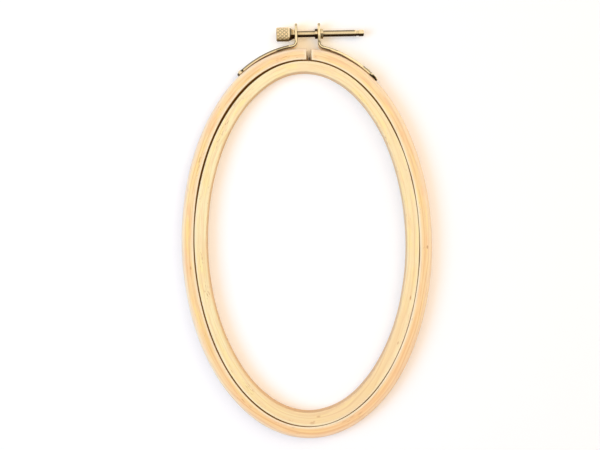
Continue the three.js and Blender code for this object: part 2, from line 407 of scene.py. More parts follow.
def growth_lines(tree):
    """Lines across the strip every 1 to 2 mm, stronger in the heartwood."""
    drift = strip_noise(tree, DRIFT_LENGTH, 7)
    pushed = add_node(tree, "Math", TIMES_PLUS, [drift, 9.0, across_strip(tree)])
    noise = {"W": pushed, "Scale": 1 / GROWTH_SPACING, "Detail": 2.0}
    lines = add_node(tree, "TexNoise", {"noise_dimensions": "1D"}, noise)
    heartwood = add_node(tree, "Attribute", {"attribute_name": "heartwood"}, output="Fac")
    return add_node(tree, "Math", TIMES_PLUS, [heartwood, 0.2, lines])


# %% Ray flecks and the sander's edge
def ray_flecks(tree):
    """Rays show as flecks 1.7 mm long and 0.3 mm wide, thinly and unevenly strewn."""
    flecks, strewn = strip_noise(tree, 1.7, 0.3, 1.0), strip_noise(tree, 12, 3, 1.0)
    return add_node(tree, "Math", TIMES, [flecks, strewn])


def sander_edge(tree, where):
    """A broken line 0.4 mm wide, at a distance across the strip where the rounded edge ends."""
    near = add_node(tree, "Math", {"operation": "COMPARE"}, [across_strip(tree), where, 0.2])
    return add_node(tree, "Math", TIMES, [near, strip_noise(tree, 9, 2, 2.0, 5.0)])


# %% Marks in the wood
def wood_mark(tree, x, y, half_length, half_width):
    """Nearness to a mark at x, y in mm, longer along the strip: 1 in its middle, less further out."""
    bearing = atan2(x / HALF_WIDTH**2, (y - OVAL_Y) / HALF_LENGTH**2)
    spot = add_node(tree, "TexCoord", output="Object")
    centre = (x * MM, y * MM, RING_DEPTH * MM)
    moved = add_node(tree, "VectorMath", {"operation": "SUBTRACT"}, [spot, centre])
    turn = {"Vector": moved, "Angle": bearing}
    turned_to = add_node(tree, "VectorRotate", {"rotation_type": "Z_AXIS"}, turn)
    scales = (1 / (half_length * MM), 1 / (half_width * MM), 1 / (2 * MM))
    scaled = add_node(tree, "VectorMath", TIMES, [turned_to, scales])
    away = add_node(tree, "VectorMath", {"operation": "LENGTH"}, [scaled], "Value")
    return add_node(tree, "Math", {"operation": "SUBTRACT"}, [1.0, away])


# %% Pattern of the wood
def wood_pattern(tree, fibres, tones, crease, marks):
    """The wood's own colour: patches, growth lines, fibres, flecks, the sander's edge and marks."""
    growth = growth_lines(tree)
    colour = to_linear(tones["wood"])
    for pattern, low, high, strength, tone in [
        (strip_noise(tree, 38, 5), 0.35, 0.65, 1.0, "warm"),
        (strip_noise(tree, 11, 1.8, 2.0, 3.0), 0.48, 0.64, 0.8, "yellow"),
        (strip_noise(tree, 9, 1.6, 2.0, 8.0), 0.5, 0.66, 0.65, "peach"),
        (growth, 0.5, 0.7, 0.5, "line"),
        (growth, 0.68, 0.85, 0.6, "dark_line"),
        (strip_noise(tree, 30, 0.8, 3.0), 0.5, 0.72, 0.5, "line"),
        # Fibres are 0.02 mm wide. At this size they are drawn ten times coarser.
        (fibres, 0.5, 0.8, 0.45, "line"),
        (ray_flecks(tree), 0.38, 0.46, 0.6, "fleck"),
        (sander_edge(tree, crease), 0.38, 0.55, 0.5, "line"),
    ]:
        colour = lay_over(tree, colour, pattern, low, high, strength, tones[tone])
    for x, y, half_length, half_width, strength in marks:
        mark = wood_mark(tree, x, y, half_length, half_width)
        colour = lay_over(tree, colour, mark, -0.3, 0.7, strength, tones["fleck"])
    return colour


# %% [markdown]
# Walls and edges
#
# The sides were planed, not sanded, and are deeper in colour; that tone is also painted shade of
# the upright walls. The edges were sanded last and are paler, and a little pink where hands hold
# the hoop; that paleness is also a painted highlight of the soft line of light a rounded edge
# catches. Oil from many cloths has darkened the upper rims of the joint, and the brown band there
# is also painted shade of the joint's depth; loose fibres leave them no gloss. Each vertex stores
# its share of each.

# %% Beech as a material
def beech(name, tones, crease, marks):
    """Sanded beech in some tones, with a sander's edge at a place across the strip, and marks as
    x, y, half length, half width and strength."""
    material, tree = new_material(name)
    fibres = strip_noise(tree, 7, 0.22, 3.0)
    colour = wood_pattern(tree, fibres, tones, crease, marks)
    for attribute, strength, tone in [
        ("heartwood", 0.45, tones["peach"]),
        # The side tone is partly painted shade of the upright walls.
        ("side_wall", 0.6, tones["side"]),
        # Pale edges: partly sanding, partly a painted highlight of the rounded edges.
        ("sanded_edge_and_highlight", 0.8, "#fff5d8"),
        ("handled_edge_and_highlight", 0.8, "#ffedd4"),
        # Brown in the joint: partly grime, partly painted shade of its depth.
        ("joint_dirt_and_shade", 1.0, "#9c6a10"),
    ]:
        share = add_node(tree, "Attribute", {"attribute_name": attribute}, output="Fac")
        colour = lay_over(tree, colour, share, 0.0, 1.0, strength, tone)
    # The last share is the joint's.
    sanded = add_node(tree, "MapRange", inputs=[fibres, 0.3, 0.7, 0.55, 0.68])
    rough = add_node(tree, "Math", LARGER_OF, [sanded, share])
    bump = add_node(tree, "Bump", inputs={"Height": fibres, "Strength": 0.35, "Distance": 0.06 * MM})
    look = {"Base Color": colour, "Roughness": rough, "IOR": 1.5, "Specular IOR Level": 0.15, "Normal": bump}
    surface = add_node(tree, "BsdfPrincipled", inputs=look)
    add_node(tree, "OutputMaterial", inputs=[surface])
    return material


# %% [markdown]
# Two tones of beech
#
# The inner ring is the paler. The photograph shows a few dark flecks in each ring, which are put
# at their own places, while noise strews the rest.

# %% Pale beech and warm beech
GRAIN_STEP = 40
INNER_CREASE, OUTER_CREASE = -2.1, 2.3

pale_beech = beech(
    "pale_beech",
    {"wood": "#fdeebb", "warm": "#fce5b5", "yellow": "#ffeaa4", "peach": "#fcdcab", "line": "#f2ce94",
     "dark_line": "#e0b078", "fleck": "#c68c58", "side": "#e4b78c"},
    GRAIN_STEP + INNER_CREASE,
    [(3.8, -84.1, 1.0, 0.5, 0.8), (0.9, -87.0, 1.3, 0.6, 0.85), (1.8, -86.3, 0.6, 0.4, 0.6),
     (46.3, -31.4, 1.2, 0.35, 0.9), (40.3, -51.6, 0.9, 0.4, 0.7)],
)
warm_beech = beech(
    "warm_beech",
    {"wood": "#fde2ab", "warm": "#fbd8a2", "yellow": "#ffdf92", "peach": "#fcca95", "line": "#eeba80",
     "dark_line": "#da9a5e", "fleck": "#bf7f4c", "side": "#e2ac77"},
    2 * GRAIN_STEP + OUTER_CREASE,
    [(54.4, -8.6, 0.9, 0.45, 0.7), (46.8, -41.0, 0.8, 0.35, 0.7), (-52.6, -16.0, 0.9, 0.4, 0.5),
     (18.9, -84.5, 1.6, 0.3, 0.6), (22.6, -83.0, 1.4, 0.3, 0.6), (15.6, -86.4, 1.8, 0.3, 0.5)],
)
print("beech materials:", pale_beech.name, warm_beech.name)

# %% [markdown]
# A ring's profile
#
# In section a ring is a rectangle, 5 to 6 mm by 8 mm, with its four edges rounded by sanding. The
# CAD solid has a flat chamfer there. A rounded edge catches a soft line of light, so the profile
# here has arcs. How pale each point is, partly for sanding and partly as a painted highlight of
# that line of light, is kept beside it.

# %% Profile with rounded edges
EDGE_STEPS = 6


def with_flats(points, longest=1.0):
    """Adds points along the flats, so that no side of the outline is longer than 1 mm."""
    filled = []
    for here, there in zip(points, points[1:] + points[:1]):
        pieces = max(1, ceil(dist(here, there) / longest))
        filled += [tuple(a + (b - a) * i / pieces for a, b in zip(here, there)) for i in range(pieces)]
    return filled


def ring_profile(near, far, radii, paleness, reaches):
    """Points (offset, height) round a section in mm, with how pale each is, partly for sanding and
    partly as a painted highlight. Radii, paleness and its reaches in mm are for the near and far
    bottom, then the far and near top."""
    corners = [(near, 0, 180), (far, 0, 270), (far, RING_DEPTH, 0), (near, RING_DEPTH, 90)]
    middle = (near + far) / 2
    points = []
    for (offset, height, start), radius in zip(corners, radii):
        centre_u = offset + copysign(radius, middle - offset)
        centre_v = height + copysign(radius, RING_DEPTH / 2 - height)
        for i in range(EDGE_STEPS + 1):
            turn = radians(start + 90 * i / EDGE_STEPS)
            points.append((centre_u + radius * cos(turn), centre_v + radius * sin(turn)))
    profile = np.array(with_flats(points))
    pale = np.zeros(len(profile))
    for (offset, height, _), share, reach in zip(corners, paleness, reaches):
        away = np.hypot(profile[:, 0] - offset, profile[:, 1] - height)
        pale = np.maximum(pale, share * np.exp(-((away / reach) ** 2)))
    return profile, pale


# %% [markdown]
# The joint
#
# The strips touch nearly all round. They gape where the bend sprang back, most at the upper left,
# and a wide gape shows its dark depth. Along the narrow ones a brown band is painted on the rims,
# partly dust and wax and partly painted shade of the depth. No bent strip is a true oval either,
# so the joint wanders by up to 0.3 mm.

# %% Gapes of the joint
# Each is a compass bearing and a reach in degrees, and a width in mm.
JOINT_GAPES = [
    (51, 7, 0.22), (66, 12, 0.4), (84, 8, 0.2), (100, 10, 0.14), (115, 20, 0.88), (148, 14, 0.52),
    (170, 14, 0.1), (190, 14, 0.22), (220, 22, 0.3), (241, 9, 0.1), (256, 11, 0.28), (291, 10, 0.14),
    (352, 8, 0.12), (30, 8, 0.16),
]


def swell(angle, middle, reach):
    """A smooth bump along the oval: 1 at a compass bearing, in degrees, and 0 far from it."""
    away = (bearing_of(angle) - middle + 180) % 360 - 180
    return np.exp(-((away / reach) ** 2))


def joint_gape(angle):
    """How far the joint gapes at a place, in mm."""
    return sum(size * swell(angle, middle, reach) for middle, reach, size in JOINT_GAPES)


def open_share(angle):
    """The share of a gape that stands open: all of a wide one, and a third of a narrow one."""
    return np.clip(joint_gape(angle) / 0.65, 0.35, 1)


# %% Uneven walls
def joint_opening(angle, height):
    """How much wider than the CAD's gap the joint is, in mm. Its walls are crowned, so that it is
    widest at its two rims."""
    rim = ((height - RING_DEPTH / 2) / (RING_DEPTH / 2)) ** 2
    return joint_gape(angle) * open_share(angle) * (0.1 + 0.9 * rim) - 0.16 - 0.09 * (1 - rim)


def joint_shift(angle):
    """How far inside the oval the joint lies at a place, in mm."""
    return 0.3 * swell(angle, 92, 40) + 0.25 * swell(angle, 215, 25) - 0.3 * swell(angle, 270, 16)


def hand_sanding(angle, seed):
    """A slow unevenness of a few hundredths of a millimetre, as hands leave in sanded wood."""
    waves = [(7, 0.030), (11, 0.022), (17, 0.016), (29, 0.010)]
    return sum(size * np.sin(count * angle + seed * (k + 1) * 1.7) for k, (count, size) in enumerate(waves))


# %% [markdown]
# Building a piece from its points
#
# Every ring, screw and bush is a grid of points: rows along the piece, and columns round its
# section. The grid is joined with quads, their normals are made to face out, and edges sharper
# than a set angle stay crisp while the rest is shaded smooth.

# %% Mesh helpers
def grid_faces(rows, columns, closed_rows):
    """Quads over a grid whose columns close on themselves. Its rows close too, or end in caps."""
    last = rows if closed_rows else rows - 1
    faces = []
    for row in range(last):
        a, b = row * columns, ((row + 1) % rows) * columns
        for column in range(columns):
            beside = (column + 1) % columns
            faces.append((a + column, a + beside, b + beside, b + column))
    if not closed_rows:
        faces += [tuple(range(columns)), tuple(range(rows * columns - 1, last * columns - 1, -1))]
    return faces


def make_piece(name, points_mm, faces, material, crisp=35):
    """A mesh object from points in mm, with its faces turned outward."""
    mesh = bpy.data.meshes.new(name)
    mesh.from_pydata((np.asarray(points_mm, float) * MM).tolist(), [], faces)
    shape = bmesh.new()
    shape.from_mesh(mesh)
    bmesh.ops.recalc_face_normals(shape, faces=shape.faces)
    shape.to_mesh(mesh)
    shape.free()
    mesh.polygons.foreach_set("use_smooth", [True] * len(mesh.polygons))
    mesh.set_sharp_from_angle(angle=radians(crisp))
    mesh.materials.append(material)
    piece = add_object(name, mesh)
    print(f"{name}: {len(mesh.vertices)} points, {len(mesh.polygons)} faces")
    return piece


def keep(piece, name, values, kind="FLOAT"):
    """Stores a number or a vector for each vertex, which the material reads by name."""
    attribute = piece.data.attributes.new(name, kind, "POINT")
    attribute.data.foreach_set("value" if kind == "FLOAT" else "vector", np.ravel(values).tolist())


# %% [markdown]
# The rings
#
# The inner ring is closed. The outer ring is one strip too, split by a saw cut at the top. The
# imported model holds it as two rigid halves, because its bodies can't bend. Here it is one piece
# over both halves, as the real one is. The sides of the cut lean towards each other at the bottom,
# so each column of the grid starts and ends at its own angle, where it meets the cut.

# %% Carry a profile round the oval
RING_ROWS = 480


def ring_points(profile, starts, ends, closed, joint_side, seed, thinning):
    """Grid points of a ring in mm, with the place of each on the strip, its nearness to the joint
    and its angle. Thinning gives what is taken off the side away from the joint at an angle."""
    if closed:
        shares = np.arange(RING_ROWS) / RING_ROWS
    else:
        count = RING_ROWS - 3
        shares = np.concatenate([[0, 0.15], np.arange(1, count), [count - 0.15, count]]) / count
    angle = starts + (ends - starts) * shares[:, None]
    offset, height = profile.T
    to_joint = (offset - offset.min()) / np.ptp(offset)
    inward = -1
    if joint_side == "near":
        to_joint, inward = 1 - to_joint, 1
    by_joint = inward * 0.5 * joint_opening(angle, height) - joint_shift(angle)
    by_free_side = hand_sanding(angle, seed) - inward * thinning(angle)
    offset = offset + by_joint * to_joint + by_free_side * (1 - to_joint)
    x, y = oval_point(angle, offset)
    length = np.interp(angle % (2 * pi), around, arc) / OVAL_LENGTH * 2 * pi
    circle = OVAL_LENGTH / (2 * pi)
    place = np.stack([circle * np.cos(length), circle * np.sin(length), offset + GRAIN_STEP * seed], axis=-1)
    points = np.stack([x, y, np.broadcast_to(height, x.shape)], axis=-1)
    return points.reshape(-1, 3), place.reshape(-1, 3), to_joint, angle


# %% What the wood's colour depends on
HEARTWOOD = (287, 48)  # a compass bearing and a reach, in degrees


def mark_ring(piece, profile, pale, place, to_joint, angle, pale_ends=0.0):
    """Stores the place in the grain, and the shares of edge, side, joint and heartwood."""
    on_side = np.clip(np.abs(to_joint - 0.5) * 2 - 0.9, 0, 0.1) * 10 * (1 - 0.8 * pale)
    by_joint = to_joint > 0.5
    from_joint = (1 - to_joint) * np.ptp(profile[:, 0])
    near_top = 0.15 + 0.85 * np.clip(1 - (RING_DEPTH - 1.4 - profile[:, 1]) / 1.8, 0, 1)
    # Brown on the joint's upper rims, partly grime and partly painted shade, widest where the joint is
    # narrow.
    dirt_and_shade_width = 0.08 + joint_gape(angle) * (0.18 + 1.5 * (1 - open_share(angle)))
    dirt_and_shade_in_joint = np.clip(1.1 - from_joint / dirt_and_shade_width, 0, 1) * near_top
    heartwood = swell(angle, *HEARTWOOD)
    steps = np.arange(RING_ROWS)
    from_end = np.minimum(steps, steps[::-1])
    end_share = pale_ends * np.exp(-((from_end / 2.3) ** 2))
    if pale_ends:
        # The saw cut's faces: painted shade, darker towards the inner ring, where little light reaches.
        dirt_and_shade_in_joint[[0, -1], :] = 0.05 + 0.6 * np.clip((3.4 - profile[:, 0]) / 0.5, 0, 1)
    keep(piece, "strip_place", place, "FLOAT_VECTOR")
    keep(piece, "sanded_edge_and_highlight", np.maximum(pale * by_joint, end_share[:, None]))
    keep(piece, "handled_edge_and_highlight", pale * ~by_joint * (1 - 0.25 * heartwood))
    keep(piece, "side_wall", np.tile(on_side, RING_ROWS))
    keep(piece, "joint_dirt_and_shade", dirt_and_shade_in_joint)
    keep(piece, "heartwood", heartwood)


# %% Inner ring
def inner_thinning(angle):
    """The inner ring is up to half a millimetre thinner at the clamp than at the far end."""
    return 0.3 * (1 + 0.8 * np.cos(angle))


profile, pale = ring_profile(-INNER_THICKNESS, 0, (0.5, 0.5, 0.5, 0.7), (0.3, 0.6, 0.6, 0.3), (1, 1, 1, 1))
columns = len(profile)
starts, ends = np.zeros(columns), np.full(columns, 2 * pi)
points, place, to_joint, angle = ring_points(profile, starts, ends, True, "far", 1, inner_thinning)
inner_hoop = make_piece("inner_hoop", points, grid_faces(RING_ROWS, columns, True), pale_beech)
mark_ring(inner_hoop, profile, pale, place, to_joint, angle)
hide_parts("inner_ring")
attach(inner_hoop, "inner")

# %% Outer ring
CUT_SLANT = 1.15


def outer_thinning(angle):
    """The wood was filed down by 0.45 mm under the brackets' bends, and fits closely further out."""
    return 0.45 * swell(angle, 90, 12) - 0.1 * (swell(angle, 111, 10) + swell(angle, 65, 10))


profile, pale = ring_profile(
    JOINT_GAP, OUTER_WALL, (0.5, 0.9, 1.4, 0.5), (0.9, 0.5, 0.85, 0.9), (1, 1, 1.8, 1)
)
columns = len(profile)
slant = CUT_SLANT * (1 - profile[:, 1] / RING_DEPTH) * np.clip((3.7 - profile[:, 0]) / 0.8, 0.3, 1)
starts = np.array([angle_at_x(SPLIT_RIGHT - s, u) for u, s in zip(profile[:, 0], slant)])
ends = np.array([angle_at_x(SPLIT_LEFT + s, u) for u, s in zip(profile[:, 0], slant)]) + 2 * pi
points, place, to_joint, angle = ring_points(profile, starts, ends, False, "near", 2, outer_thinning)
outer_hoop = make_piece("outer_hoop", points, grid_faces(RING_ROWS, columns, False), warm_beech)
mark_ring(outer_hoop, profile, pale, place, to_joint, angle, pale_ends=0.9)

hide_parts("outer_ring_left", "outer_ring_right")
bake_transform(outer_hoop)

# %% [markdown]
# Brass
#
# The metal is brass in three finishes. The strips were drawn, so fine lines run along them. The
# screw and the bush were turned, so the lines run round. The tacks were pressed and tumbled, which
# leaves them smooth. Handled brass stays bright on its crests and goes brown in its grooves and
# corners. How dark each place is, is stored on the mesh and the material reads it; besides that
# patina it holds painted shade and painted dark reflections along the edges of the strips, the
# screw and the bush.

# %% Brass as a material
def brass(name, colour, patina_and_shade_tone, lay, shine):
    """Bright brass. The lay scales, per mm, draw the tool's fine lines in the stored place."""
    material, tree = new_material(name)
    place = add_node(tree, "Attribute", {"attribute_name": "metal_place"}, output="Vector")
    patina_and_painted_shade = add_node(tree, "Attribute", {"attribute_name": "patina_and_painted_shade"}, output="Fac")
    drawn = add_node(tree, "VectorMath", TIMES, [place, lay])
    lines = add_node(tree, "TexNoise", inputs={"Vector": drawn, "Scale": 1, "Detail": 3})
    clouds = add_node(tree, "TexNoise", inputs={"Vector": place, "Scale": 0.45, "Detail": 3})
    spread = add_node(tree, "MapRange", SMOOTH, [clouds, 0.5, 0.75, 0.0, 0.12])
    dulled = add_node(tree, "Math", LARGER_OF, [spread, patina_and_painted_shade])
    toned = add_node(tree, "Mix", MIX_COLOURS, [dulled, to_linear(colour), to_linear(patina_and_shade_tone)])
    rubbed = add_node(tree, "MapRange", inputs=[lines, 0.3, 0.7, shine, shine + 0.12])
    bump = add_node(tree, "Bump", inputs={"Height": lines, "Strength": 0.25, "Distance": 0.02 * MM})
    look = {"Base Color": toned, "Metallic": 1.0, "Roughness": rubbed, "Normal": bump}
    surface = add_node(tree, "BsdfPrincipled", inputs=look)
    add_node(tree, "OutputMaterial", inputs=[surface])
    return material


drawn_brass = brass("drawn_brass", "#fae3b4", "#2c2008", (0.15, 9.0, 9.0), 0.22)
turned_brass = brass("turned_brass", "#fae0b0", "#301e08", (9.0, 0.3, 0.3), 0.22)
pressed_brass = brass("pressed_brass", "#f3deb0", "#8a6a38", (1.5, 1.5, 1.5), 0.16)
print("brass materials:", drawn_brass.name, turned_brass.name, pressed_brass.name)

# %% [markdown]
# The brackets
#
# Each bracket began as a flat blank of drawn strip with rounded ends and two holes, which was then
# bent: along the ring's wall, and out into a lug. Near the bend it stands a little off the wood,
# which leaves a dark gap there. It is made here in the same order: a flat curve gives the blank and
# its soft edges, cuts across it let it bend, and each vertex then moves to the bent line.

# %% The bent line of a bracket
STRIP_THICKNESS = 1.2
STRIP_WIDTH = 7.0
STRIP_CORNER = 3.0
STRIP_MIDDLE = 6.6
TACK_SEAT = 7.3
BEND_RADIUS = 2.2
STAND_OFF = 0.25
STAND_OFF_REACH = 0.45
LUG_MIDDLE = 2.2
LUG_SPACING = 10.4
SCREW_Y = 89.2
LUG_TIP_Y = 94.0
LEFT, RIGHT = -1, 1
WALL_STEPS, BEND_STEPS, LUG_STEPS = 160, 25, 20


def bracket_line(side, reach, tack_inset, tail_lift):
    """The strip's middle line in plan, from its tacked end to the lug's tip: points, directions
    square to it, the length along it, and the tack's place as a length and an angle."""
    lug_x = LUG_MIDDLE + side * LUG_SPACING / 2
    bend_offset = STRIP_MIDDLE + STAND_OFF + BEND_RADIUS
    end_angle = angle_at_x(LUG_MIDDLE + side * reach, STRIP_MIDDLE)
    tack_angle = angle_at_x(LUG_MIDDLE + side * (reach - tack_inset), STRIP_MIDDLE)
    bend_angle = angle_at_x(lug_x + side * BEND_RADIUS, bend_offset)
    on_wall = np.linspace(end_angle, bend_angle, WALL_STEPS)
    past_tack = np.clip((on_wall - tack_angle) / (end_angle - tack_angle), 0, None)
    near_bend = np.clip(1 - np.abs(on_wall - bend_angle) / STAND_OFF_REACH, 0, 1)
    offset = STRIP_MIDDLE + tail_lift * past_tack**2 + STAND_OFF * near_bend**1.5
    wall = np.stack(oval_point(on_wall, offset), axis=-1)
    wall_square = np.stack(oval_normal(on_wall), axis=-1)

    centre = np.array(oval_point(bend_angle, bend_offset))
    first = atan2(*reversed(oval_normal(bend_angle)))
    last = pi if side == LEFT else 0.0
    turning = np.linspace(first, last, BEND_STEPS)[1:]
    turn_square = np.stack([np.cos(turning), np.sin(turning)], axis=-1)
    turn = centre - BEND_RADIUS * turn_square

    lug = np.array([[lug_x, y] for y in np.linspace(turn[-1][1], LUG_TIP_Y, LUG_STEPS)[1:]])
    lug_square = np.tile([float(side), 0.0], (len(lug), 1))

    line = np.concatenate([wall, turn, lug])
    square = np.concatenate([wall_square, turn_square, lug_square])
    length = np.concatenate([[0], np.cumsum(np.hypot(*np.diff(line, axis=0).T))])
    tack_at = np.interp(abs(tack_angle - end_angle), np.abs(on_wall - end_angle), length[: len(wall)])
    return line, square, length, float(tack_at), tack_angle


# %% The outlines of a blank
SOFT_EDGE = 0.35


def blank_outline(length):
    """The outline of a flat blank with rounded ends, drawn in by the soft edge."""
    outline = []
    half = STRIP_WIDTH / 2
    for x, y, start in [(length, -half, 270), (length, half, 0), (0, half, 90), (0, -half, 180)]:
        centre_x = x + copysign(STRIP_CORNER, length / 2 - x)
        centre_y = y - copysign(STRIP_CORNER, y)
        for i in range(13):
            turn = radians(start + 90 * i / 12)
            reach = STRIP_CORNER - SOFT_EDGE
            outline.append((centre_x + reach * cos(turn), centre_y + reach * sin(turn)))
    return outline


def hole_outline(place, diameter):
    """The outline of a hole, drawn out by the soft edge."""
    radius = diameter / 2 + SOFT_EDGE
    turns = np.linspace(0, 2 * pi, 40, endpoint=False)
    return [(place + radius * cos(t), radius * sin(t)) for t in turns]


# %% A flat blank with its holes
def pierced_blank(name, outlines):
    """A mesh of the flat blank, a filled curve with soft edges."""
    curve = bpy.data.curves.new(name + "_blank", "CURVE")
    curve.dimensions = "2D"
    curve.fill_mode = "BOTH"
    curve.extrude = STRIP_THICKNESS / 2 - SOFT_EDGE
    curve.bevel_depth = SOFT_EDGE
    curve.bevel_resolution = 4
    for outline in outlines:
        spline = curve.splines.new("POLY")
        spline.points.add(len(outline) - 1)
        spline.points.foreach_set("co", [c for x, y in outline for c in (x, y, 0, 1)])
        spline.use_cyclic_u = True
    holder = add_object(name + "_blank", curve)
    bpy.context.view_layer.update()
    flat = bpy.data.meshes.new_from_object(holder.evaluated_get(bpy.context.evaluated_depsgraph_get()))
    bpy.data.objects.remove(holder)
    return flat


# %% Cuts that let a blank bend
DARK_RIM_DEPTH = 0.55
CUT_SPACING = 0.4


def cut_blank(flat, length):
    """Cuts the blank across every 0.4 mm, and along its rims, and returns its points and faces."""
    shape = bmesh.new()
    shape.from_mesh(flat)
    bmesh.ops.remove_doubles(shape, verts=shape.verts, dist=0.001)
    rim = STRIP_WIDTH / 2 - SOFT_EDGE - DARK_RIM_DEPTH
    cuts = [((cut, 0, 0), (1, 0, 0)) for cut in np.arange(CUT_SPACING, length - 0.3, CUT_SPACING)]
    cuts += [((0, -rim, 0), (0, 1, 0)), ((0, rim, 0), (0, 1, 0)), ((0, 0, 0), (0, 0, 1))]
    for place, direction in cuts:
        everything = shape.verts[:] + shape.edges[:] + shape.faces[:]
        bmesh.ops.bisect_plane(shape, geom=everything, plane_co=place, plane_no=direction, dist=1e-5)
    shape.verts.ensure_lookup_table()
    flat_place = np.array([v.co for v in shape.verts])
    faces = [[v.index for v in face.verts] for face in shape.faces]
    shape.free()
    return flat_place, faces


# %% [markdown]
# Dark lines on the strips
#
# The strips' broad faces stand upright, so the picture shows only their edges. Dark lines along
# them draw the clamp in the photograph: partly brass gone dark along its corners, where fingers
# and polish don't reach, and partly painted shade in the gap by the wood and painted reflection of
# dark surroundings on the outer edge. A dark patch lies on a strip's edge, between two distances
# from the lug's tip and two depths through the thickness, which runs from -0.6 mm by the wood to
# 0.6 mm outside.

# %% Dark lines along a strip's edges
def painted_shade_and_tarnish(from_tip, depth, dark_patches):
    """How dark each place is, as painted shade and patina, from patches of (from, to, deep,
    shallow, share) in mm.
    """
    total = np.zeros(len(from_tip))
    for start, end, deep, shallow, share in dark_patches:
        along = np.clip(np.minimum(from_tip - start, end - from_tip) / 0.5 + 0.5, 0, 1)
        through = np.clip(np.minimum(depth - deep, shallow - depth) / 0.12 + 0.5, 0, 1)
        total = np.maximum(total, share * along * through)
    return total


def near_rim(flat_place, length):
    """1 on the rim of the blank, 0 further in than the depth of a dark patch."""
    past_x = np.abs(flat_place[:, 0] - length / 2) - (length / 2 - STRIP_CORNER)
    past_y = np.abs(flat_place[:, 1]) - (STRIP_WIDTH / 2 - STRIP_CORNER)
    inside = STRIP_CORNER - np.hypot(np.maximum(past_x, 0), np.maximum(past_y, 0))
    inside = np.minimum(inside, STRIP_CORNER - np.maximum(past_x, past_y))
    return np.clip(1 - (inside - SOFT_EDGE) / DARK_RIM_DEPTH, 0, 1)


# %% Bending a blank
TACK_HOLE = 1.6


def bracket(name, node, body, line_data, lug_hole, dark_patches):
    """Cuts a blank, pierces it, bends it along its line, paints shade and patina on its edges, and
    seats it.
    """
    line, square, length, tack_at, _ = line_data
    full = float(length[-1])
    outlines = [blank_outline(full), hole_outline(tack_at, TACK_HOLE)]
    outlines.append(hole_outline(full - (LUG_TIP_Y - SCREW_Y), lug_hole))
    flat_place, faces = cut_blank(pierced_blank(name, outlines), full)
    along, across, depth = flat_place.T
    here, out = [
        np.column_stack([np.interp(along, length, plan[:, k]) for k in (0, 1)]) for plan in (line, square)
    ]
    out /= np.linalg.norm(out, axis=1)[:, None]
    points = np.column_stack([here + out * depth[:, None], RING_DEPTH / 2 + across])
    piece = make_piece(name, points, faces, drawn_brass, crisp=40)
    keep(piece, "metal_place", flat_place, "FLOAT_VECTOR")
    keep(piece, "patina_and_painted_shade", near_rim(flat_place, full) * painted_shade_and_tarnish(full - along, depth, dark_patches))
    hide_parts(node)
    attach(piece, body)
    print(f"{name}: {full:.1f} mm long")


# %% Left bracket
left_line = bracket_line(LEFT, 32, 1.4, 0.0)
end = float(left_line[2][-1])
bracket("left_strip", "left_bracket", "fixed_side", left_line, 3.7, [
    (-1.0, 1.6, -0.7, 0.7, 0.5), (1.6, 9.0, -0.7, -0.3, 0.5), (1.6, 9.0, 0.35, 0.7, 0.35),
    (8.0, 12.5, 0.2, 0.7, 0.6), (9.0, 19.0, -0.7, -0.28, 1.0), (13.0, end - 2.2, -0.02, 0.7, 0.82),
    (end - 3.4, end - 2.4, -0.5, 0.7, 1.0), (end - 0.9, end + 1.0, -0.7, 0.7, 0.95),
])

# %% Right bracket
right_line = bracket_line(RIGHT, 31, 4.3, 0.2)
end = float(right_line[2][-1])
bracket("right_strip", "right_bracket", "free_side", right_line, 4.5, [
    (-1.0, 1.6, -0.7, 0.7, 0.5), (6.0, 8.2, -0.7, 0.3, 0.45), (8.2, 9.2, -0.7, 0.3, 0.85),
    (8.5, 12.5, 0.15, 0.7, 0.8), (9.4, 16.0, -0.7, -0.3, 1.0), (12.5, 19.0, 0.25, 0.7, 0.65),
    (16.0, 22.0, -0.7, -0.4, 0.5), (end - 8.8, end - 3.8, 0.0, 0.7, 0.75),
    (end - 4.4, end - 2.8, -0.7, -0.2, 1.0), (end - 3.2, end - 1.0, -0.7, 0.35, 1.0),
    (end - 1.4, end + 1.0, -0.7, 0.2, 1.0),
])

# %% [markdown]
# Turned and pressed parts
#
# A lathe part is an outline of radius against length, turned about an axis. A real one has no
# perfectly sharp edge, so a small curve first replaces each corner of the outline. These curves
# catch the light, and tell the eye the size of the piece.

# %% Turned parts
def softened(outline, radius, steps=4):
    """The outline with each inner corner cut back to a small curve."""
    soft = [outline[0]]
    for three in zip(outline, outline[1:], outline[2:]):
        before, corner, after = np.array(three, float)
        sides = [before - corner, after - corner]
        cut = min(radius, *(np.linalg.norm(side) / 2 for side in sides))
        start, end = [corner + side / np.linalg.norm(side) * cut for side in sides]
        for t in np.linspace(0, 1, steps + 1):
            soft.append(tuple((1 - t) ** 2 * start + 2 * t * (1 - t) * corner + t**2 * end))
    return soft + [outline[-1]]


def turned(name, stations, steps, material, place, direction, crisp=50, looped=False):
    """A piece about an axis in the hoop's mid plane, from stations along it: a length in mm, and
    the radius there or the radii round it."""
    along = np.array([*direction, 0.0]) / np.linalg.norm(direction)
    axes = np.array([along, (-along[1], along[0], 0.0), (0.0, 0.0, 1.0)])
    turns = np.linspace(0, 2 * pi, steps, endpoint=False)
    flat_place = np.concatenate([
        np.column_stack([np.full(steps, length), radius * np.cos(turns), radius * np.sin(turns)])
        for length, radius in stations
    ])
    points = flat_place @ axes + (*place, RING_DEPTH / 2)
    piece = make_piece(name, points, grid_faces(len(stations), steps, looped), material, crisp)
    keep(piece, "metal_place", flat_place, "FLOAT_VECTOR")
    return piece


# %% Tacks
TACK_HEAD = 1.4
TACK_DOME = 0.7
TACK_PIN = 0.6

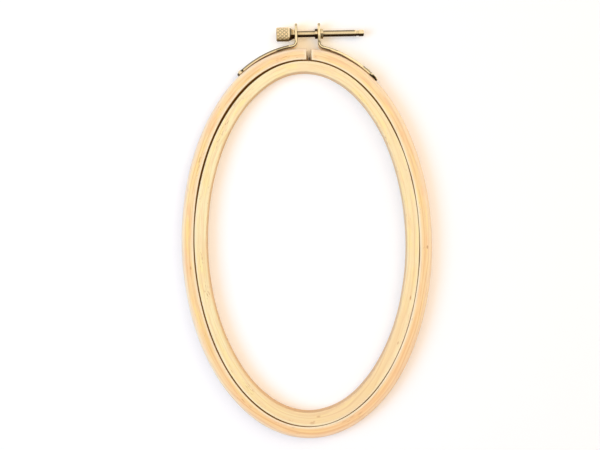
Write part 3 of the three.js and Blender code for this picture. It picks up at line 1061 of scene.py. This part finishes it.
dome_radius = (TACK_HEAD**2 + TACK_DOME**2) / (2 * TACK_DOME)
dome_turn = asin(TACK_HEAD / dome_radius)
dome = [
    (TACK_DOME - dome_radius * (1 - cos(turn)), max(dome_radius * sin(turn), 0.02))
    for turn in np.linspace(dome_turn, 0, 10)
]
pin = [(-4.3, 0.05), (-3.1, TACK_PIN), (0.0, TACK_PIN), (0.0, TACK_HEAD - 0.05), (0.06, TACK_HEAD)]
for name, line_data, node, body in [
    ("left_dome_tack", left_line, "left_tack", "fixed_side"),
    ("right_dome_tack", right_line, "right_tack", "free_side"),
]:
    angle = line_data[4]
    place = oval_point(angle, TACK_SEAT)
    tack = turned(name, pin + dome[1:], 32, pressed_brass, place, oval_normal(angle))
    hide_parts(node)
    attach(tack, body)

# %% [markdown]
# The thumb screw
#
# The head was knurled: two wheels pressed crossing sets of grooves into it, which leaves small
# pyramids that fingers can grip. Each set is a V groove that winds round the head, so the radius
# at a place is the full radius less the deeper of the two. Real grooves are about 1 mm apart, and
# are drawn 1.85 mm apart here so that they show. The same trick, with one groove, cuts the M3
# thread, whose crests are 0.5 mm apart.

# %% Outline of the head
COLLAR_FACE = (-3.7, SCREW_Y)
HEAD_RADIUS = 3.2
HEAD_LEFT, HEAD_RIGHT, COLLAR_LEFT = -8.3, -2.2, -0.6
COLLAR_RADIUS = 2.1
SHOULDER = 0.6

end_outline = softened(
    [(HEAD_LEFT + 0.25, 1.9), (HEAD_LEFT, 2.2), (HEAD_LEFT, 2.85), (HEAD_LEFT + 0.35, HEAD_RADIUS)], 0.12
)
taper_outline = softened(
    [(HEAD_RIGHT - SHOULDER, HEAD_RADIUS), (HEAD_RIGHT, 2.95), (COLLAR_LEFT, COLLAR_RADIUS),
     (0, COLLAR_RADIUS), (0, 1.4)],
    0.15,
)
knurled = np.linspace(HEAD_LEFT + 0.35, HEAD_RIGHT - SHOULDER, 66)
head_outline = [(HEAD_LEFT + 0.25, 0.05)] + end_outline[:-1]
head_outline += [(length, HEAD_RADIUS) for length in knurled]
head_outline += taper_outline[1:] + [(0, 0.05)]
print("rows along the head:", len(head_outline))

# %% Knurling
KNURLS_ROUND = 11
KNURL_PITCH = 1.85
KNURL_DEPTH = 0.26


def groove_depth(count):
    """1 along the middle of a V-shaped furrow and 0 on the crest between two, for a count of pitches."""
    return np.clip(1.35 - 5 * np.abs((count % 1) - 0.5), 0, 1)


def knurling(length, turns):
    """The deeper of the two crossing sets of grooves, fading out at both ends of the knurled band."""
    wound = turns / (2 * pi) * KNURLS_ROUND
    left_hand = groove_depth(wound + length / KNURL_PITCH)
    right_hand = groove_depth(wound - length / KNURL_PITCH)
    fade = np.clip(min(length - knurled[0], knurled[-1] - length) / 0.25, 0, 1)
    return np.maximum(left_hand, right_hand) * fade


# %% Painted shade and grime on the head
def head_shade_and_dirt(length, turns):
    """Darkening, partly grime and partly painted shade and dark reflection: along the low side of the
    head, on its end, and thick on the taper behind it.
    """
    low = -np.cos(turns)
    if length > HEAD_RIGHT + 0.05:
        upper = 0.95 - 0.75 * np.clip((length - HEAD_RIGHT - 1.0) / 0.3, 0, 1)
        return np.maximum(upper, np.clip((low - 0.1) / 0.2, 0, 1))
    if length > HEAD_RIGHT - SHOULDER:
        return np.clip((low - 0.55) / 0.3, 0, 1)
    return np.maximum(0.85 * np.clip((low - 0.72) / 0.15, 0, 1), 0.35 * (length < HEAD_LEFT + 0.4))


# %% Knurled head
HEAD_STEPS = 260
GROOVE_DIRT = 0.42

turns = np.linspace(0, 2 * pi, HEAD_STEPS, endpoint=False)
stations, dark_shares = [], []
for length, radius in head_outline:
    deep = knurling(length, turns)
    stations.append((length, radius - KNURL_DEPTH * deep))
    dark_shares.append(np.maximum(deep * GROOVE_DIRT, head_shade_and_dirt(length, turns)))
knurled_head = turned("knurled_head", stations, HEAD_STEPS, turned_brass, COLLAR_FACE, (1, 0), crisp=70)
keep(knurled_head, "patina_and_painted_shade", dark_shares)

# %% Threaded shank
THREAD_RADIUS = 1.5
THREAD_PITCH = 0.5
THREAD_DEPTH = 0.1
THREAD_END = 27.9
NECK_END = 29.3
NECK_DEPTH = 0.25
SHANK_LENGTH = 31.5
TIP_BEVEL = 0.4
SHANK_STEPS = 40
GROOVE_SHADE = 0.2

turns = np.linspace(0, 2 * pi, SHANK_STEPS, endpoint=False)
# Painted dark reflections: a line along the shank's low side, and one along its far side over the thread.
painted_low_line = np.clip((-np.cos(turns) - 0.2) / 0.2, 0, 1)
painted_far_line = np.clip((np.cos(turns) - 0.3) / 0.2, 0, 1) * 0.8
bevel = SHANK_LENGTH - TIP_BEVEL
stations, dark_shares = [], []
for length in [*np.arange(0, bevel, THREAD_PITCH / 12), bevel, SHANK_LENGTH - 0.15, SHANK_LENGTH]:
    deep = 0.5 - 0.5 * np.cos(2 * pi * length / THREAD_PITCH - turns)
    fade = np.clip(min(length - 0.6, THREAD_END - length) / 0.5, 0, 1)
    neck = np.clip(min(length - THREAD_END, NECK_END - length) / 0.25, 0, 1)
    reach = THREAD_RADIUS - THREAD_DEPTH * deep * fade - NECK_DEPTH * neck - max(length - bevel, 0)
    stations.append((length, reach))
    shade = np.maximum(painted_low_line, painted_far_line * (length < THREAD_END - 0.5))
    dark_shares.append(np.maximum((deep * fade + neck) * GROOVE_SHADE, shade))
stations.append((SHANK_LENGTH, 0.05))
dark_shares.append(dark_shares[-1])
threaded_shank = turned("threaded_shank", stations, SHANK_STEPS, turned_brass, COLLAR_FACE, (1, 0), crisp=70)
keep(threaded_shank, "patina_and_painted_shade", dark_shares)

# %% Screw on its body
for piece in (knurled_head, threaded_shank):
    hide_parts("thumb_screw")
    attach(piece, "screw")

# %% [markdown]
# The bush
#
# A threaded bush is staked in the right lug, with a flange on either side. It is a ring in
# section, so its outline is a closed loop that is turned about the screw's axis.

# %% Bush in the right lug
BORE_RADIUS = 1.85
WAIST_RADIUS = 2.15
FLANGE_RADIUS = 2.3
FLANGE_START, BUSH_END = 0.7, 1.9

side_outline = softened(
    [(0, BORE_RADIUS), (-BUSH_END, BORE_RADIUS), (-BUSH_END, FLANGE_RADIUS), (-FLANGE_START, FLANGE_RADIUS),
     (-FLANGE_START, WAIST_RADIUS), (FLANGE_START, WAIST_RADIUS), (FLANGE_START, FLANGE_RADIUS),
     (BUSH_END, FLANGE_RADIUS), (BUSH_END, BORE_RADIUS), (0.01, BORE_RADIUS)],
    0.18,
)
right_lug = (LUG_MIDDLE + LUG_SPACING / 2, SCREW_Y)
bush = turned("flanged_bush", side_outline, 48, turned_brass, right_lug, (1.0, 0.0), looped=True)
axial, height, _ = np.array([tuple(v.vector) for v in bush.data.attributes["metal_place"].data]).T
# Painted shade: the flanges are darker above and below the shank, most on the left side.
left_flange_shade = np.where(height > 0.6, 0.95, np.where(height < -0.5, 1.0, 0.1))
right_flange_shade = np.where(height > 0.9, 0.3, np.where(height < -0.1, 0.8, 0.1))
keep(bush, "patina_and_painted_shade", np.where(axial < 0, left_flange_shade, right_flange_shade))
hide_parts("threaded_bush")
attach(bush, "free_side")
